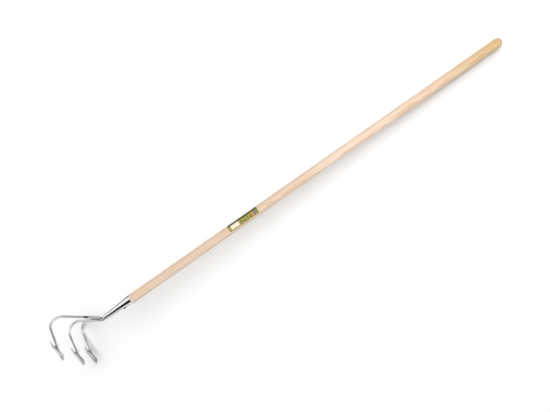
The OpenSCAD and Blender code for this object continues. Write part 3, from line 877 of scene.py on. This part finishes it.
molten = add(ripples, "GeometryNodeMeshToVolume", {
    "Mesh": loose.outputs[0], "Voxel Size": given.outputs["Skin step"]}, resolution_mode="VOXEL_SIZE")
skin = add(ripples, "GeometryNodeVolumeToMesh", {
    "Volume": molten.outputs[0], "Voxel Size": given.outputs["Skin step"], "Threshold": 0.1},
    resolution_mode="VOXEL_SIZE")
real = add(ripples, "GeometryNodeRealizeInstances", {"Geometry": skin.outputs[0]})
dressed = add(ripples, "GeometryNodeSetMaterial", {"Geometry": real.outputs[0],
                                                   "Material": given.outputs["Steel"]})
ripples.links.new(dressed.outputs[0], result.inputs[0])
print(ripples.name, "has", len(ripples.nodes), "nodes")

# %% [markdown]
# The same tree lays all the welds. One bead closes a ring round the rod at the socket's nose, one
# on each side joins an outer tine to the middle one, and two on each share fill the corners
# between the rod and the folded plate.

# %% Weld beads at the nose, the neck and the shares


def straight_run(place, start, stop, steps=6):
    return [(place @ Vector((start + (stop - start) * i / steps, 0, 0)), 1.0) for i in range(steps + 1)]


def lay_bead(name, node, splines, radius, spacing, seed, cyclic=False, skin_step=0.2):
    bead = path_object(name, splines, cyclic)
    bead = apply_tree(bead, ripples, {"Ripple spacing": spacing, "Bead radius": radius,
                                      "Skin step": skin_step, "Seed": seed, "Steel": weld_steel})
    settle(bead, weld_steel, node, crease=80)


RING_X, RING_R, RING_POINTS, NECK_RUN = -0.6, 4.5, 48, (1.9, 13.1)
nose_ring = [(Vector((RING_X, RING_R * math.cos(a), RING_R * math.sin(a))), 1.0)
             for a in (2 * math.pi * i / RING_POINTS for i in range(RING_POINTS))]
lay_bead("nose_ring_bead", "nose_weld", [nose_ring], radius=1.55, spacing=1.1, seed=1, cyclic=True)
for side, sign in (("left", 1), ("right", -1)):
    middle = shift(OUTER_START[0], sign * OUTER_START[1] / 2, OUTER_START[2] / 2)
    seam = ARM_FRAME @ middle @ turn(sign * FAN / 2, "Z")
    lay_bead(side + "_neck_bead", side + "_neck_weld", [straight_run(seam, *NECK_RUN)],
             radius=3.4, spacing=1.5, seed=2)
BEAD_SINK, BEAD_LEN, BEAD_INSET = 1.1, NOTCH[0] - ROD_STOP, 1.2
bead_deep, bead_far = ROD_R + ROD_GAP - BEAD_SINK, ROD_R + BEAD_SINK
bead_side = math.sqrt(bead_far ** 2 - bead_deep ** 2)
bead_y = bead_deep * math.sin(FOLD) + bead_side * math.cos(FOLD)
bead_z = bead_deep * math.cos(FOLD) - bead_side * math.sin(FOLD)
for side, place in SHARE_FRAMES.items():
    bead_frames = [place @ lean(PITCH / 2) @ shift(LEG - NOTCH[0], wing * bead_y, bead_z) for wing in (1, -1)]
    runs = [straight_run(bead_frame, BEAD_INSET, BEAD_LEN - BEAD_INSET) for bead_frame in bead_frames]
    lay_bead(side + "_share_beads", side + "_share_weld", runs, radius=2.1, spacing=1.0, seed=3)

# %% [markdown]
# One domed screw with a cross recess keeps the shaft in the socket. Its solid already has that
# shape, so it stays, and only gets the dark finish of an oiled black steel screw.

# %% Blackened steel of the screw
# To the eye it is nearly black, with a dull shine. Object coordinates are metres, so a grain is 1.1 mm
GRAINS_PER_METRE = 900
screw_steel, tree, shader = new_surface("blackened_steel_screw")
here = add(tree, "ShaderNodeTexCoord")
grain_at = add(tree, "ShaderNodeMapping", {0: here.outputs["Object"], "Scale": [GRAINS_PER_METRE] * 3})
grain = add(tree, "ShaderNodeTexNoise", {"Vector": grain_at.outputs[0], "Scale": 1.0, "Detail": 3.0})
tone = add(tree, "ShaderNodeMix", {0: grain.outputs["Fac"], 6: linear("#363537"), 7: linear("#6A696C")},
           data_type="RGBA")
rough = add(tree, "ShaderNodeMapRange", {"Value": grain.outputs["Fac"], "To Min": 0.3, "To Max": 0.5})
plug(tree, shader, {"Base Color": tone.outputs[2], "Metallic": 1.0, "Roughness": rough.outputs[0]})
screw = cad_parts["socket_screw"]
screw.data.materials.clear()
screw.data.materials.append(screw_steel)

# %% [markdown]
# The label is printed paper, wrapped more than half way round the shaft. Its print is a plain
# design: an olive field with pale leaves, a cream panel, dark edges and two bright stripes. A dark
# band along the edge of the label that turns away from the light is print and painted shade at
# once. Every motif is arithmetic on millimetres along and round the label, so it needs no
# picture file and its edges stay sharp from close by.

# %% Printed paper
# To the eye it is flat colour under a thin varnish, with a soft shine
LEAF_CELL, LEAF_HALF, LEAF_CURVE, VEIN_HALF = (11.0, 9.0), 2.0, 0.1, 0.25
# Each of these is a middle line and how far the print reaches to either side of it, in mm; the dark band is
# painted shade as well as print
PANEL_ALONG, PANEL_ROUND, CLEAR_OF_EDGES, PRINT_AND_SHADE_BAND = (22.0, 14.0), (42.5, 6.5), (26.0, 24.6), (26.5, 8.0)
STRIPES = ((84.0, 3.0, "#E08A3C"), (91.0, 2.2, "#4E7188"))
label_paper, tree, shader = new_surface("varnished_printed_paper")
spot = add(tree, "ShaderNodeAttribute", attribute_name="print_mm",
           attribute_type="GEOMETRY").outputs["Vector"]
axes = add(tree, "ShaderNodeSeparateXYZ", {0: spot})
along_mm, around_mm = axes.outputs["X"], axes.outputs["Y"]
ink_at = add(tree, "ShaderNodeMapping", {0: spot, "Scale": (1 / 9, 1 / 7, 1)})
ink = add(tree, "ShaderNodeTexNoise", {"Vector": ink_at.outputs[0], "Scale": 1.0, "Detail": 3.0})
field = add(tree, "ShaderNodeMix", {0: ink.outputs["Fac"], 6: linear("#625E1A"), 7: linear("#94903C")},
            data_type="RGBA")
# Leaves: a lens shape with a bare vein in every cell
cell_u = add(tree, "ShaderNodeMath", {0: along_mm, 1: LEAF_CELL[0], 2: 0.0}, operation="WRAP")
cell_v = add(tree, "ShaderNodeMath", {0: around_mm, 1: LEAF_CELL[1], 2: 0.0}, operation="WRAP")
leaf_u = add(tree, "ShaderNodeMath", {0: cell_u.outputs[0], 1: LEAF_CELL[0] / 2}, operation="SUBTRACT")
leaf_v = add(tree, "ShaderNodeMath", {0: cell_v.outputs[0], 1: LEAF_CELL[1] / 2}, operation="SUBTRACT")
bow = add(tree, "ShaderNodeMath", {0: leaf_u.outputs[0], 1: leaf_u.outputs[0]}, operation="MULTIPLY")
width = add(tree, "ShaderNodeMath", {0: bow.outputs[0], 1: -LEAF_CURVE, 2: LEAF_HALF},
            operation="MULTIPLY_ADD")
off = add(tree, "ShaderNodeMath", {0: leaf_v.outputs[0]}, operation="ABSOLUTE")
leaf = add(tree, "ShaderNodeMath", {0: off.outputs[0], 1: width.outputs[0]}, operation="LESS_THAN")
vein = add(tree, "ShaderNodeMath", {0: off.outputs[0], 1: VEIN_HALF}, operation="GREATER_THAN")
leaf_ink = add(tree, "ShaderNodeMath", {0: leaf.outputs[0], 1: vein.outputs[0]}, operation="MULTIPLY")
leafy = add(tree, "ShaderNodeMix", {0: leaf_ink.outputs[0], 6: field.outputs[2], 7: linear("#BDB65A")},
            data_type="RGBA")
# Panel, stripes, edges, and the dark band, which is print and painted shade where the label turns from the
# light
panel_u = add(tree, "ShaderNodeMath", {0: along_mm, 1: PANEL_ALONG[0], 2: PANEL_ALONG[1]},
              operation="COMPARE")
panel_v = add(tree, "ShaderNodeMath", {0: around_mm, 1: PANEL_ROUND[0], 2: PANEL_ROUND[1]},
              operation="COMPARE")
panel = add(tree, "ShaderNodeMath", {0: panel_u.outputs[0], 1: panel_v.outputs[0]}, operation="MULTIPLY")
printed = add(tree, "ShaderNodeMix", {0: panel.outputs[0], 6: leafy.outputs[2], 7: linear("#F1E6CE")},
              data_type="RGBA")
for middle, half, colour in STRIPES:
    stripe = add(tree, "ShaderNodeMath", {0: along_mm, 1: middle, 2: half}, operation="COMPARE")
    printed = add(tree, "ShaderNodeMix", {0: stripe.outputs[0], 6: printed.outputs[2], 7: linear(colour)},
                  data_type="RGBA")
off_edges = add(tree, "ShaderNodeMath", {0: around_mm, 1: CLEAR_OF_EDGES[0], 2: CLEAR_OF_EDGES[1]},
                operation="COMPARE")
# Painted shade: the dark band darkens the print where the label turns away from the light
print_and_shade_band = add(tree, "ShaderNodeMath", {0: around_mm, 1: PRINT_AND_SHADE_BAND[0], 2: PRINT_AND_SHADE_BAND[1]}, operation="COMPARE")
inside = add(tree, "ShaderNodeMath", {0: off_edges.outputs[0], 1: print_and_shade_band.outputs[0]}, operation="SUBTRACT")
edged_and_shaded = add(tree, "ShaderNodeMix", {0: inside.outputs[0], 6: linear("#453F22"), 7: printed.outputs[2]},
            data_type="RGBA")
rough = add(tree, "ShaderNodeMapRange", {"Value": ink.outputs["Fac"], "To Min": 0.28, "To Max": 0.42})
bump = add(tree, "ShaderNodeBump", {"Height": ink.outputs["Fac"], "Strength": 0.2, "Distance": 0.0002})
plug(tree, shader, {"Base Color": edged_and_shaded.outputs[2], "Roughness": rough.outputs[0], "Normal": bump.outputs[0]})
print(label_paper.name, "has", len(tree.nodes), "nodes")

# %% [markdown]
# The sheet itself is a thin closed shell on the shaft: an outer and an inner face joined round
# the edge. Its own millimetres, along and round, go into the attribute that the print reads.

# %% Paper label
LABEL_FROM, LABEL_LEN, LABEL_TURN, LABEL_WRAP = 358.0, 103.0, 26.0, 210.0
INNER_R, OUTER_R = 14.06, 14.18
columns, rows = 40, 72
verts, prints, faces = [], [], []
for radius in (OUTER_R, INNER_R):
    for i in range(columns + 1):
        for j in range(rows + 1):
            u, angle = LABEL_LEN * i / columns, math.radians(LABEL_TURN + LABEL_WRAP * j / rows)
            verts.append((SOCKET_LEN + LABEL_FROM + u, radius * math.cos(angle), radius * math.sin(angle)))
            prints += [u, OUTER_R * math.radians(LABEL_WRAP * j / rows), 0.0]


def spot_of(layer, i, j):
    return (layer * (columns + 1) + i) * (rows + 1) + j


for i in range(columns):
    for j in range(rows):
        quad = [(i, j), (i, j + 1), (i + 1, j + 1), (i + 1, j)]
        faces.append(tuple(spot_of(0, a, b) for a, b in quad))
        faces.append(tuple(spot_of(1, a, b) for a, b in reversed(quad)))
edge = [(i, 0) for i in range(columns, 0, -1)] + [(0, j) for j in range(rows)]
edge += [(i, rows) for i in range(columns)] + [(columns, j) for j in range(rows, 0, -1)]
for a, b in zip(edge, edge[1:] + edge[:1]):
    faces.append((spot_of(0, *b), spot_of(0, *a), spot_of(1, *a), spot_of(1, *b)))
label = mesh_object("paper_label", verts, faces)
label.data.attributes.new("print_mm", "FLOAT_VECTOR", "POINT").data.foreach_set("vector", prints)
settle(label, label_paper, "handle_label", crease=40)
